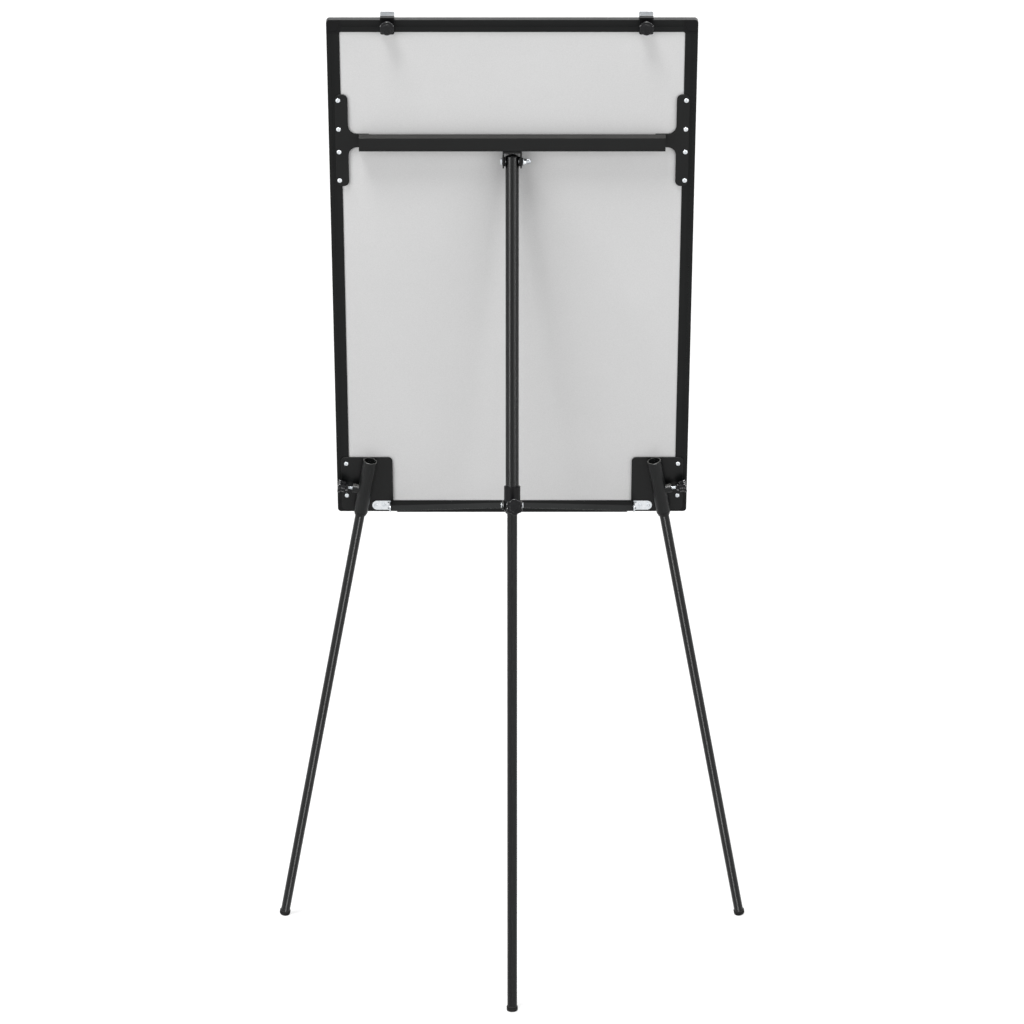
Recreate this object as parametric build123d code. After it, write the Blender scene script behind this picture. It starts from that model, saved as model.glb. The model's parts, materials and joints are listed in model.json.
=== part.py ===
from build123d import *
from math import acos, atan2, cos, degrees, hypot, radians, sin
import os

# Free-standing whiteboard easel: a framed board on two splayed front legs and one folding rear leg.
# Millimetres. +Z is up, the writing face looks towards -Y and the rear leg stands on the +Y side.
# Left and right are those of someone who writes on the board, so left is -X.
# Three frames are used. The board frame has X across, Y behind the back face and Z up the board
# from its bottom edge. The leg frames have Z up along the tube. The stand frame is upright, with
# Y = 0 under the bottom back edge of the board.

# Stance
board_lift = 812.4
board_tilt = 12.0
leg_splay = 10.48
rear_lean = 4.73

# Board and frame
board_width = 600.0
board_height = 900.0
frame_face = 21.0
frame_depth = 13.0
front_lip = 1.6
back_lip = 2.0
outer_wall = 8.0
chamber_wall = 1.4
channel_start = 6.5
channel_width = 4.5
channel_depth = 0.8
lip_slope = 2.5
frame_edge_radius = 1.2
corner_radius = 6.0
cap_size = 24.0
cap_pad = 19.5
cap_pad_radius = 8.5
cap_line = 1.0
cap_line_deep = 0.6
cap_tongue = 12.0
tongue_gap = 0.15
panel_gap = 0.2
sheet_thickness = 0.5

# Crossbar, tee plates and corner plates
plate = 2.0
plate_edge = 0.4
crossbar_from_top = 209.2
crossbar_from_side = 49.7
crossbar_tall = 23.8
crossbar_deep = 18.0
crossbar_wall = 1.5
crossbar_radius = 1.6
tee_length = 161.6
tee_width = 21.0
tee_from_edge = 11.0
tee_end_radius = 9.0
tee_neck_radius = 14.0
tee_overlap = 16.0
tee_rivet_near = 20.0
tee_rivet_from_end = 10.2
rivet_from_edge = 16.5
rivet_radius = 2.0
rivet_head_radius = 4.0
rivet_head = 1.5
rivet_crown_radius = 2.6
rivet_gap = 0.06
corner_plate_width = 88.4
corner_plate_tall = 101.1
corner_plate_from_side = 7.1
corner_plate_from_bottom = 4.8
corner_plate_radius = 8.0
corner_rivets_at = (32.4, 93.5)

# Front legs, their sockets and clamps
leg_from_side = 38.4
leg_tube = 16.4
tube_wall = 1.2
socket_tube = 24.0
socket_wall = 2.0
socket_stand_off = 1.0
socket_edge = 0.5
socket_low = 10.0
socket_high = 108.0
weld_width = 9.0
weld_end = 6.0
clamp_height = 51.0
boss_radius = 7.5
boss_reach = 21.4
bush_sleeve = 14.0
bush_taper = 7.0
bush_nose_wall = 1.6
leg_plug_low = 62.0
leg_plug_length = 16.0
leg_plug_cap = 3.0
leg_plug_edge = 1.0

# Rear leg
pivot_drop = 19.3
pivot_offset = 15.0
stud_height = 109.9
rear_outer_tube = 22.0
rear_outer_wall = 1.2
rear_inner_tube = 17.0
rear_tube_overlap = 74.0
rear_tube_above_pivot = 8.0
plug_stem = 16.0
plug_dome = 4.2
collar_above_stud = 32.4
collar_below_stud = 8.5
collar_nose_tall = 5.1
collar_diameter = 27.2
collar_nose = 21.0
collar_seat_below_stud = 0.5
collar_pad = 0.6
rear_clamp_above_stud = 4.7
rear_clamp_turn = 5.5
rear_boss_reach = 17.5
foot_head = 19.4
foot_head_tall = 9.0
foot_stem = 20.0
foot_edge = 3.0
foot_flat = 0.5
foot_rim = 0.8

# Clevis, bolt and wing nut
clevis_half = 15.8
clevis_plate = 2.6
clevis_radius = 11.4
bolt = 6.0
bolt_head_across = 10.0
bolt_head = 3.3
bolt_end = 30.8
washer_radius = 8.0
wing_hub_radius = 5.6
wing_hub_nose = 4.2
wing_hub_long = 5.6
wing_reach = 14.0
wing_out = 8.6
wing_tip = 3.2
wing_heel = 1.7
wing_root = 2.0
wing_thickness = 2.0
wing_turn = 52.0
lock_washer = 1.6

# Star knobs
knob_diameter = 28.8
leg_knob_diameter = 25.0
knob_lobes = 6
knob_lobe_radius = 4.4
knob_flange = 4.6
knob_body = 7.6
knob_hub = 5.5
knob_hub_radius = 7.0
knob_body_share = 0.86
knob_notch = 0.62
knob_edge = 0.9
knob_dish_radius = 8.0
knob_dish = 0.8
knob_clear = 7.3
clip_knob_diameter = 23.4
clip_knob_share = 0.72
screw_bite = 1.0

# Stays and their brackets
stay_width = 9.0
stay_thickness = 2.4
stay_pin_height = 13.5
stay_pin_offset = 13.8
stay_pin = 5.0
stay_pin_head = 4.4
stay_pin_head_tall = 2.2
stay_pin_tail_tall = 1.2
bracket_plate = 1.6
bracket_from_side = 59.6
bracket_long = 31.8
bracket_low = 5.3
bracket_tall = 17.4
bracket_ear_radius = 6.5
bracket_relief = 1.1
bracket_relief_from_end = 4.0
bracket_relief_from_edge = 3.0
bracket_rivets_at = (11.1, 24.9)
bracket_rivet_head = 0.7
bracket_rivet_head_radius = 3.1
stud = 6.0
stud_collar = 5.0
stud_head_radius = 4.6
stud_head = 1.5
hook_radius = 8.0
hook_gap = 0.35
hook_land = 10.0
hook_straight = 16.0
stay_folded = 5.0
stay_step = 0.3

# Pen tray
tray_from_side = 102.0
tray_deep = 46.0
tray_lip = 10.0
tray_sheet = 1.2
tray_corner = 4.0
tray_screw_from_end = 48.0
tray_screw = 3.5
tray_screw_head = 3.4
tray_screw_head_tall = 1.8
tray_screw_long = 7.0

# Pad clips
right_clip_from_side = 98.6
left_clip_from_side = 84.0
clip_width = 22.8
clip_leg = 24.0
clip_back = 3.0
clip_top = 4.8
clip_bridge = 6.0
hook_plate = 1.8
hook_bridge = 3.1
hook_upstand = 4.0
hook_corner = 2.8
hook_tongue_width = 16.0
hook_tongue = 1.6
hook_tongue_rise = 0.6
clip_knob_down = 8.5
peg = 6.0
peg_long = 14.0
peg_down = 9.0
clip_boss_radius = 6.5
clip_stand_off = 1.4

# Clearances
slip = 0.3
running = 0.05
seat = 0.05


# Values that follow from the sizes above
half_width = board_width / 2
leg_at_bottom_edge = half_width - leg_from_side
right_clip_at = half_width - right_clip_from_side
left_clip_at = left_clip_from_side - half_width
bracket_outer = half_width - bracket_from_side
bracket_inner = bracket_outer - bracket_long
tray_half = half_width - tray_from_side
tray_screws_at = tray_half - tray_screw_from_end
front_face = -frame_depth
groove_front = front_face + front_lip
groove_back = -back_lip
splay_sin = sin(radians(leg_splay))
splay_cos = cos(radians(leg_splay))
tilt_sin = sin(radians(board_tilt))
tilt_cos = cos(radians(board_tilt))
leg_offset = plate + socket_stand_off + socket_tube / 2
fold_angle = board_tilt + rear_lean
crossbar_centre = board_height - crossbar_from_top
crossbar_half = half_width - crossbar_from_side
crossbar_low = crossbar_centre - crossbar_tall / 2
pivot_height = crossbar_low - pivot_drop
stud_at = (pivot_height - stud_height) / cos(radians(fold_angle))
collar_high = stud_at - collar_above_stud
collar_low = stud_at + collar_below_stud
collar_end = collar_low + collar_nose_tall
collar_seat = stud_at + collar_seat_below_stud
rear_clamp_at = stud_at - rear_clamp_above_stud
rear_inner_top = stud_at - rear_tube_overlap
crossbar_back = plate + crossbar_deep
tee_inner = half_width - tee_from_edge - tee_width
rivet_x = half_width - rivet_from_edge


# General shapes
def block(x0, x1, y0, y1, z0, z1):
    """A box between two corners."""
    middle = Pos((x0 + x1) / 2, (y0 + y1) / 2, (z0 + z1) / 2)
    return middle * Box(abs(x1 - x0), abs(y1 - y0), abs(z1 - z0))


def rod(radius, low, high):
    """A cylinder along Z from one height to another."""
    return Pos(0, 0, (low + high) / 2) * Cylinder(radius, high - low)


def tube(outer, inner, low, high):
    """A round tube along Z, given by its radii."""
    bore = rod(inner, low - 1, high + 1)
    return rod(outer, low, high) - bore


def turned(points):
    """A turned piece: an outline of radius and height, spun about Z."""
    return revolve(Plane.XZ * make_face(Polyline(*points, close=True)), Axis.Z)


def across(shape, x, y, z):
    """Turns a piece made along Z so that it points along +X from a place."""
    return Pos(x, y, z) * Rot(0, 90, 0) * shape


def behind(shape, x, z):
    """Turns a piece made along Z so that it points out of the back of the board."""
    return Pos(x, 0, z) * Rot(-90, 0, 0) * shape


def sheet_piece(outline, y0, y1):
    """A flat piece parallel to the board, its outline drawn in X and height."""
    back = Plane(origin=(0, y0, 0), x_dir=(1, 0, 0), z_dir=(0, -1, 0))
    return extrude(back * outline, amount=y0 - y1)


def other_side(shape):
    """The left-hand copy of a right-hand piece."""
    return mirror(shape, about=Plane.YZ)


# Frames of reference
def on_board(shape):
    """From the board frame to the stand frame."""
    return Pos(0, 0, board_lift) * Rot(-board_tilt, 0, 0) * shape


def board_point(x, y, z):
    """A point of the board frame in the stand frame."""
    return (x, z * tilt_sin + y * tilt_cos, board_lift + z * tilt_cos - y * tilt_sin)


right_leg_plane = Plane(
    origin=(leg_at_bottom_edge, leg_offset, 0),
    x_dir=(splay_cos, 0, splay_sin),
    z_dir=(-splay_sin, 0, splay_cos),
)
rear_pivot = board_point(0, pivot_offset, pivot_height)
rear_leg_plane = Plane(
    origin=rear_pivot,
    x_dir=(1, 0, 0),
    z_dir=(0, -sin(radians(rear_lean)), cos(radians(rear_lean))),
)


def on_right_leg(shape):
    """From the right leg's frame, X outwards along its knob, to the board frame."""
    return right_leg_plane.location * shape


def on_rear_leg(shape):
    """From the rear leg's frame, Z = 0 at the pivot, to the stand frame."""
    return rear_leg_plane.location * shape


def foot_height(lean):
    """Height of the middle of a leaning foot's end face, with its flat on the floor."""
    reach = foot_head / 2 - foot_edge
    return reach * sin(lean) + foot_edge * (1 - cos(lean)) - foot_flat


front_lean = acos(splay_cos * tilt_cos)
leg_reach = (board_lift - leg_offset * tilt_sin - foot_height(front_lean)) / cos(front_lean)
rear_reach = (rear_pivot[2] - foot_height(radians(rear_lean))) / cos(radians(rear_lean))


# Frame and panel
def rail_section():
    """The extrusion: outer edge at X = 0, back face at Y = 0, open groove for the panel."""
    channel_end = channel_start + channel_width
    outline = make_face(Polyline(
        (0, front_face),
        (frame_face, front_face),
        (frame_face, groove_front),
        (outer_wall, groove_front),
        (outer_wall, groove_back),
        (frame_face, groove_back),
        (frame_face, -channel_depth),
        (frame_face - lip_slope, 0),
        (channel_end, 0),
        (channel_end, -channel_depth),
        (channel_start, -channel_depth),
        (channel_start, 0),
        (0, 0),
        close=True,
    ))
    outline = fillet(outline.vertices().group_by(Axis.X)[0], frame_edge_radius)
    return outline - chamber_outline(0)


def chamber_outline(gap):
    """The hollow chamber beside the outer wall, drawn in by a gap for the cap's tongue."""
    low_x = chamber_wall + gap
    high_x = outer_wall - chamber_wall - gap
    low_y = front_face + chamber_wall + gap
    high_y = -channel_depth - chamber_wall - gap
    middle = Pos((low_x + high_x) / 2, (low_y + high_y) / 2)
    return middle * Rectangle(high_x - low_x, high_y - low_y)


def rail(length):
    """A length of the extrusion along Z, its middle at Z = 0."""
    return Pos(0, 0, -length / 2) * extrude(rail_section(), amount=length)


def rivet_hole(x, z):
    """The hole of one rivet through a plate and the frame's back wall."""
    hole = rod(rivet_radius + rivet_gap, -back_lip - 1, plate + 1)
    return behind(hole, x, z)


def rivet(x, z, base=plate, head=rivet_head):
    """A rivet whose shank ends flush inside the frame's back wall."""
    shank = rod(rivet_radius, -back_lip, base + head / 2)
    cap = turned([
        (0, base),
        (rivet_head_radius, base),
        (rivet_crown_radius, base + head),
        (0, base + head),
    ])
    return behind(shank + cap, x, z)


def tee_rivet_heights():
    """Heights of the four rivets of a tee plate."""
    far = tee_length / 2 - tee_rivet_from_end
    return [crossbar_centre + step for step in (-far, -tee_rivet_near, tee_rivet_near, far)]


def right_stile():
    """The right-hand upright, with its rivet holes."""
    upright = rail(board_height - 2 * cap_size)
    upright = other_side(Pos(-half_width, 0, board_height / 2) * upright)
    for height in tee_rivet_heights() + list(corner_rivets_at):
        upright -= rivet_hole(rivet_x, height)
    return upright


def bracket_rivet_places():
    """Places of the rivets that hold a stay bracket through the corner plate."""
    middle = bracket_low + bracket_tall / 2
    return [(bracket_inner + step, middle) for step in bracket_rivets_at]


def bottom_rail():
    """The lower rail, with holes for the stay brackets' rivets and the tray screws."""
    body = Rot(0, -90, 0) * rail(board_width - 2 * cap_size)
    for x, z in bracket_rivet_places():
        body -= rivet_hole(x, z)
        body -= rivet_hole(-x, z)
    for side in (-1, 1):
        hole = rod(tray_screw / 2 + rivet_gap, -1, chamber_wall + 1)
        body -= Pos(side * tray_screws_at, tray_screw_offset(), 0) * hole
    return body


def top_rail():
    """The upper rail."""
    body = mirror(Rot(0, -90, 0) * rail(board_width - 2 * cap_size), about=Plane.XY)
    return Pos(0, 0, board_height) * body


def pad_outline(grow):
    """The pad on a corner piece: a square whose inner corner is rounded."""
    size = cap_pad + grow
    square = Pos(size / 2, size / 2) * Rectangle(size, size)
    inner = square.vertices().sort_by(lambda v: v.X + v.Y)[-1]
    return fillet(inner, cap_pad_radius + grow)


def cap_rim(body):
    """The edges of a corner piece that carry on the rounded outer edges of the rails."""
    faces = [e for e in body.edges() if min(abs(e.center().Y), abs(e.center().Y - front_face)) < 0.01]
    return [e for e in faces if min(e.center().X, e.center().Z) < 0.01
            or max(e.center().X, e.center().Z) < corner_radius]


def corner_cap():
    """The lower right corner piece: a rounded block with a pad, a panel pocket and two tongues."""
    body = block(0, cap_size, front_face, 0, 0, cap_size)
    outer_corner = body.edges().filter_by(Axis.Y).sort_by(lambda e: e.center().X + e.center().Z)[0]
    body = fillet(outer_corner, corner_radius)
    body = fillet(cap_rim(body), frame_edge_radius)
    inner_radius = cap_size - frame_face
    body -= behind(rod(inner_radius, front_face - 1, 1), cap_size, cap_size)
    slope = Cone(inner_radius, inner_radius + lip_slope, channel_depth)
    body -= behind(Pos(0, 0, -channel_depth / 2) * slope, cap_size, cap_size)
    body -= sheet_piece(pad_outline(cap_line) - pad_outline(0), -cap_line_deep, 1)
    body -= block(outer_wall, cap_size + 1, groove_front, groove_back, outer_wall, cap_size + 1)
    tongue = extrude(chamber_outline(tongue_gap), amount=cap_tongue + 1)
    body += Pos(0, 0, cap_size - 1) * tongue
    body += Pos(cap_size + cap_tongue, 0, 0) * Rot(0, -90, 0) * tongue
    return other_side(Pos(-half_width, 0, 0) * body)


def upper(shape):
    """A lower piece of the frame turned into its upper twin."""
    return Pos(0, 0, board_height) * mirror(shape, about=Plane.XY)


def panel(y0, y1):
    """One layer of the panel, its edges inside the frame's groove."""
    edge = outer_wall + panel_gap
    side = half_width - edge
    return block(-side, side, y0, y1, edge, board_height - edge)


# Plates and crossbar
def edged_plate(outline):
    """A plate on the frame's back, its outer edge broken all round."""
    body = sheet_piece(outline, 0, plate)
    return chamfer(body.edges().group_by(Axis.Y)[-1], plate_edge)


def right_tee_plate():
    """The right tee plate: an upright strip with a neck that runs in under the crossbar."""
    tee_outer = tee_inner + tee_width
    neck_end = crossbar_half - tee_overlap
    bar = Pos((tee_inner + tee_outer) / 2, crossbar_centre) * Rectangle(tee_width, tee_length)
    bar = fillet(bar.vertices(), tee_end_radius)
    neck = Pos((neck_end + tee_inner) / 2, crossbar_centre)
    neck *= Rectangle(tee_inner - neck_end, crossbar_tall)
    outline = bar + neck
    roots = [v for v in outline.vertices() if abs(v.X - tee_inner) < 0.01
             and abs(v.Y - crossbar_centre) < crossbar_tall]
    outline = fillet(roots, tee_neck_radius)
    body = edged_plate(outline)
    for height in tee_rivet_heights():
        body -= rivet_hole(rivet_x, height)
    return body


def crossbar():
    """The rectangular tube that carries the rear leg."""
    outer = RectangleRounded(crossbar_deep, crossbar_tall, crossbar_radius)
    inner = Rectangle(crossbar_deep - 2 * crossbar_wall, crossbar_tall - 2 * crossbar_wall)
    section = Plane.YZ * (outer - inner)
    body = Pos(-crossbar_half, 0, 0) * extrude(section, amount=2 * crossbar_half)
    return Pos(0, plate + crossbar_deep / 2, crossbar_centre) * body


def right_corner_plate():
    """The right corner plate that the leg socket is welded to."""
    outer = half_width - corner_plate_from_side
    middle = Pos(outer - corner_plate_width / 2, corner_plate_from_bottom + corner_plate_tall / 2)
    outline = middle * RectangleRounded(corner_plate_width, corner_plate_tall, corner_plate_radius)
    body = edged_plate(outline)
    for height in corner_rivets_at:
        body -= rivet_hole(rivet_x, height)
    for x, z in bracket_rivet_places():
        body -= rivet_hole(x, z)
    return body


# Front leg socket, clamped leg and star knob
def right_leg_socket():
    """The socket tube with its screw boss and the weld that joins it to the plate."""
    bore = socket_tube / 2 - socket_wall
    body = rod(socket_tube / 2, socket_low, socket_high)
    body = chamfer(body.edges().group_by(Axis.Z)[-1], socket_edge)
    body += across(rod(boss_radius, 0, boss_reach), 0, 0, clamp_height)
    foot_face = -socket_tube / 2 - socket_stand_off
    weld_low = socket_low + weld_end
    weld_high = socket_high - weld_end
    body += block(-weld_width / 2, weld_width / 2, foot_face, 0, weld_low, weld_high)
    body -= rod(bore, socket_low - 1, socket_high + 1)
    body -= across(rod(bolt / 2 + running, 0, boss_reach + 1), 0, 0, clamp_height)
    return on_right_leg(body)


def right_socket_bush():
    """The moulded guide at the socket's lower end, tapered to the leg."""
    bore = leg_tube / 2 + running
    nose = bore + bush_nose_wall
    body = turned([
        (bore, socket_low - bush_taper),
        (nose, socket_low - bush_taper),
        (socket_tube / 2, socket_low - 1),
        (socket_tube / 2, socket_low),
        (socket_tube / 2 - socket_wall - seat, socket_low),
        (socket_tube / 2 - socket_wall - seat, socket_low + bush_sleeve),
        (bore, socket_low + bush_sleeve),
    ])
    return on_right_leg(body)


def right_leg_tube():
    """The straight front leg tube."""
    radius = leg_tube / 2
    top = leg_plug_low + leg_plug_length - leg_plug_cap
    body = tube(radius, radius - tube_wall, foot_head_tall - leg_reach, top)
    return on_right_leg(body)


def right_leg_plug():
    """The plug that guides the leg's top in the socket and stops at the clamp screw."""
    top = leg_plug_low + leg_plug_length
    guide = socket_tube / 2 - socket_wall - running
    body = rod(guide, leg_plug_low, top) - rod(leg_tube / 2 + seat, leg_plug_low - 1, top - leg_plug_cap)
    body += rod(leg_tube / 2 - tube_wall - seat, leg_plug_low, top - leg_plug_cap / 2)
    return on_right_leg(chamfer(body.edges().group_by(Axis.Z)[-1], leg_plug_edge))


def foot(stem_radius, reach):
    """A rubber foot along Z: a rounded head on a stem that plugs the tube."""
    head = rod(foot_head / 2, -reach, foot_head_tall - reach)
    head = fillet(head.edges().group_by(Axis.Z)[0], foot_edge)
    head = chamfer(head.edges().group_by(Axis.Z)[-1], foot_rim)
    return head + rod(stem_radius, foot_head_tall - reach - 1, foot_head_tall + foot_stem - reach)


def on_floor(shape):
    """Cuts a foot flat where it meets the floor."""
    place = shape.center()
    side = 2 * foot_head
    return shape - block(place.X - side, place.X + side, place.Y - side, place.Y + side, -foot_head, 0)


def lobed(diameter, lobe_share=1.0):
    """The star outline: a round centre with lobes about it, blended at their roots."""
    lobe = knob_lobe_radius * diameter / knob_diameter
    ring = diameter / 2 - lobe
    core = ring + lobe * (1 - knob_notch * lobe_share)
    outline = Circle(core)
    for index in range(knob_lobes):
        angle = radians(30 + 360 / knob_lobes * index)
        outline += Pos(ring * cos(angle), ring * sin(angle)) * Circle(lobe)
    return outline


def star_knob(diameter, start, lobe_share=1.0, size=1.0):
    """A star knob along +Z: hub, drawn-in lobed body and a wider lobed flange."""
    hub = knob_hub * size
    body_long = knob_body * size
    flange = knob_flange * size
    head = extrude(Pos(0, 0, hub + body_long) * lobed(diameter, lobe_share), amount=flange)
    head = chamfer(head.edges().group_by(Axis.Z)[-1], knob_edge)
    skirt = extrude(Pos(0, 0, hub) * lobed(diameter * knob_body_share, lobe_share), amount=body_long)
    top = hub + body_long + flange
    dish = rod(knob_dish_radius * size, top - knob_dish, top + 1)
    body = head + skirt + rod(knob_hub_radius * size, 0, hub) - dish
    return Pos(0, 0, start) * body


def clamp_screw(tip, start):
    """The clamp screw from its tip at the tube into the knob's hub."""
    shank = rod(bolt / 2, tip, start + knob_hub + screw_bite)
    return chamfer(shank.edges().group_by(Axis.Z)[0], 0.8)


def with_screw_hole(knob, start):
    """Opens the blind hole in a knob's hub that holds its screw."""
    return knob - rod(bolt / 2 + seat, start - 1, start + knob_hub + screw_bite + 0.1)


def right_leg_knob():
    """The star knob of the right leg's clamp."""
    start = boss_reach + knob_clear
    knob = with_screw_hole(star_knob(leg_knob_diameter, start), start)
    return on_right_leg(across(knob, 0, 0, clamp_height))


def right_clamp_screw():
    """The screw of the right leg's clamp, its tip just off the leg tube."""
    screw = clamp_screw(leg_tube / 2 + slip, boss_reach + knob_clear)
    return on_right_leg(across(screw, 0, 0, clamp_height))


# Rear leg
def rear_outer():
    """The upper tube of the rear leg, cross-drilled for the bolt and the clamp screw."""
    radius = rear_outer_tube / 2
    body = tube(radius, radius - rear_outer_wall, -collar_seat, rear_tube_above_pivot)
    body -= Rot(0, 90, 0) * Cylinder(bolt / 2 + running, rear_outer_tube + 2)
    body -= rear_clamp_line(rod(bolt / 2 + running, 0, rear_outer_tube))
    return on_rear_leg(body)


def rear_clamp_line(shape):
    """Turns a piece made along Z to the rear clamp's line, which leans a little to the left."""
    return Pos(0, 0, -rear_clamp_at) * Rot(0, 0, rear_clamp_turn) * Rot(-90, 0, 0) * shape


def rear_top_plug():
    """The rounded plug in the top of the rear leg, drilled for the bolt."""
    inner = rear_outer_tube / 2 - rear_outer_wall - seat
    outer = rear_outer_tube / 2
    top = rear_tube_above_pivot
    stem = rod(inner, -plug_stem, top)
    ball = (outer ** 2 + plug_dome ** 2) / (2 * plug_dome)
    dome = rod(outer, top, top + plug_dome) & Pos(0, 0, top + plug_dome - ball) * Sphere(ball)
    body = stem + dome - Rot(0, 90, 0) * Cylinder(bolt / 2 + running, rear_outer_tube + 2)
    return on_rear_leg(body)


def rear_collar():
    """The moulded collar: it grips the upper tube, guides the lower one and takes the screw."""
    outer = collar_diameter / 2
    wide = rear_outer_tube / 2 + seat
    narrow = rear_inner_tube / 2 + running
    body = turned([
        (wide, -collar_high),
        (outer - collar_pad, -collar_high),
        (outer, -collar_high - collar_pad),
        (outer, -collar_low),
        (collar_nose / 2, -collar_end),
        (narrow, -collar_end),
        (narrow, -collar_seat - seat),
        (wide, -collar_seat - seat),
    ])
    boss = rod(boss_radius, collar_diameter / 4, rear_boss_reach)
    body += rear_clamp_line(boss) - rod(rear_outer_tube / 2 + 1, -collar_end, -collar_high)
    for side in (0, 180):
        pad = rod(stud_collar, collar_diameter / 2 - 2, stay_inner_face())
        body += Pos(0, 0, -stud_at) * Rot(0, 0, side) * Rot(0, 90, 0) * pad
    body -= rear_clamp_line(rod(bolt / 2 + running, 0, rear_boss_reach + 1))
    for side in (0, 180):
        hole = rod(stud / 2 + seat, stud_root() - seat, stay_inner_face() + 1)
        body -= Pos(0, 0, -stud_at) * Rot(0, 0, side) * Rot(0, 90, 0) * hole
    return on_rear_leg(body)


def stay_inner_face():
    """Distance from the middle to the collar's pads, which the hooks lie beside."""
    return collar_diameter / 2 + collar_pad


def stud_root():
    """Distance from the middle to the inner ends of the studs, outside the upper tube."""
    return rear_outer_tube / 2 + slip + seat


def stay_inner_x():
    """Distance from the middle to the middle of a hook's thickness."""
    return stay_inner_face() + stay_step + stay_thickness / 2


def collar_studs():
    """The two headed studs that the stays hook over."""
    start = stud_root()
    head_start = stay_inner_face() + 2 * stay_step + stay_thickness
    pin = rod(stud / 2, start, head_start + stud_head)
    pin += rod(stud_head_radius, head_start, head_start + stud_head)
    pin = chamfer(pin.edges().group_by(Axis.Z)[-1], 0.5)
    right = Pos(0, 0, -stud_at) * Rot(0, 90, 0) * pin
    return on_rear_leg(Compound([right, other_side(right)]))


def rear_knob():
    """The star knob of the rear leg's clamp."""
    start = rear_boss_reach + knob_clear
    knob = with_screw_hole(star_knob(knob_diameter, start), start)
    return on_rear_leg(rear_clamp_line(knob))


def rear_clamp_screw():
    """The screw of the rear leg's clamp."""
    screw = clamp_screw(rear_inner_tube / 2 + slip, rear_boss_reach + knob_clear)
    return on_rear_leg(rear_clamp_line(screw))


def rear_inner():
    """The lower tube of the rear leg."""
    radius = rear_inner_tube / 2
    return on_rear_leg(tube(radius, radius - tube_wall, foot_head_tall - rear_reach, -rear_inner_top))


def rear_inner_plug():
    """The plug that guides the lower tube's top inside the upper tube."""
    guide = rear_outer_tube / 2 - rear_outer_wall - running
    inner = rear_inner_tube / 2 - tube_wall - seat
    top = -rear_inner_top
    body = rod(guide, top, top + leg_plug_cap) + rod(inner, top - plug_stem, top)
    return on_rear_leg(chamfer(body.edges().group_by(Axis.Z)[-1], leg_plug_edge))


# Clevis, bolt and wing nut
def leg_clevis():
    """The folded clevis under the crossbar: a web and two round-ended ears."""
    rim = Pos(pivot_offset, pivot_height) * Circle(clevis_radius)
    top = Polyline((pivot_offset - clevis_radius, crossbar_low), (crossbar_back, crossbar_low))
    profile = make_hull(rim.edges() + top.edges())
    body = extrude(Plane.YZ * profile, amount=clevis_half, both=True)
    inner = clevis_half - clevis_plate
    low = pivot_height - 2 * clevis_radius
    body -= block(-inner, inner, -clevis_radius, 2 * crossbar_back, low, crossbar_low - clevis_plate)
    return body - across(Cylinder(bolt / 2 + seat, 3 * clevis_half), 0, pivot_offset, pivot_height)


def pivot_bolt():
    """The hexagon-headed bolt, its head on the right and its thread out to the left."""
    head = extrude(RegularPolygon(bolt_head_across / 2, 6, major_radius=False), amount=bolt_head)
    head = Pos(0, 0, clevis_half) * head
    shank = rod(bolt / 2, -bolt_end, clevis_half + 1)
    shank = chamfer(shank.edges().group_by(Axis.Z)[0], 0.7)
    return across(head + shank, 0, pivot_offset, pivot_height)


def pivot_washers():
    """Two nylon washers beside the leg and a steel one under the wing nut."""
    leg_side = rear_outer_tube / 2 + running
    ear_side = clevis_half - clevis_plate
    hole = bolt / 2 + seat
    inner_washer = tube(washer_radius, hole, leg_side, ear_side)
    outer_washer = tube(washer_radius - 1.5, hole, -clevis_half - lock_washer, -clevis_half)
    group = Compound([inner_washer, mirror(inner_washer, about=Plane.XY), outer_washer])
    return across(group, 0, pivot_offset, pivot_height)


def wing_nut():
    """The wing nut: a tapered hub with two splayed, round-tipped wings."""
    hub = turned([
        (0, 0),
        (wing_hub_radius, 0),
        (wing_hub_nose, wing_hub_long),
        (0, wing_hub_long),
    ])
    root = Pos(0, wing_root) * Rectangle(2 * wing_hub_nose, 2 * wing_heel)
    tips = Sketch()
    for side in (-1, 1):
        tip = Pos(side * (wing_reach - wing_tip), wing_out) * Circle(wing_tip)
        heel = Pos(side * wing_hub_nose / 2, wing_root) * Circle(wing_heel)
        tips += make_hull(tip.edges() + heel.edges())
    wings = extrude(Plane.XZ * (tips + root), amount=wing_thickness / 2, both=True)
    body = hub + wings - rod(bolt / 2 + running, -1, wing_hub_long + wing_out)
    start = clevis_half + lock_washer + slip
    turned_body = Rot(0, 0, wing_turn) * body
    return Pos(-start, pivot_offset, pivot_height) * Rot(0, -90, 0) * turned_body


# Stays
def fold_frame():
    """Geometry of a stay in the board frame, seen from the side."""
    away = radians(fold_angle)
    stud_y = pivot_offset + stud_at * sin(away)
    stud_z = pivot_height - stud_at * cos(away)
    reach = hypot(stud_y - stay_pin_offset, stud_z - stay_pin_height)
    angle = atan2(stud_y - stay_pin_offset, stud_z - stay_pin_height)
    return reach, angle


stay_reach, stay_angle = fold_frame()
stay_swing = degrees(stay_angle) - stay_folded
stay_ratio = stay_swing / fold_angle


def hook_mouth():
    """Direction in which the stud leaves the hook, in the stay's own frame, in degrees."""
    away = radians(fold_angle)
    leg_y = -stud_at * cos(away)
    leg_z = -stud_at * sin(away)
    arm_y = -stay_ratio * stay_reach * cos(stay_angle)
    arm_z = stay_ratio * stay_reach * sin(stay_angle)
    move_y = leg_y - arm_y
    move_z = leg_z - arm_z
    along = move_y * sin(stay_angle) + move_z * cos(stay_angle)
    upward = -move_y * cos(stay_angle) + move_z * sin(stay_angle)
    return degrees(atan2(upward, along))


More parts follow.
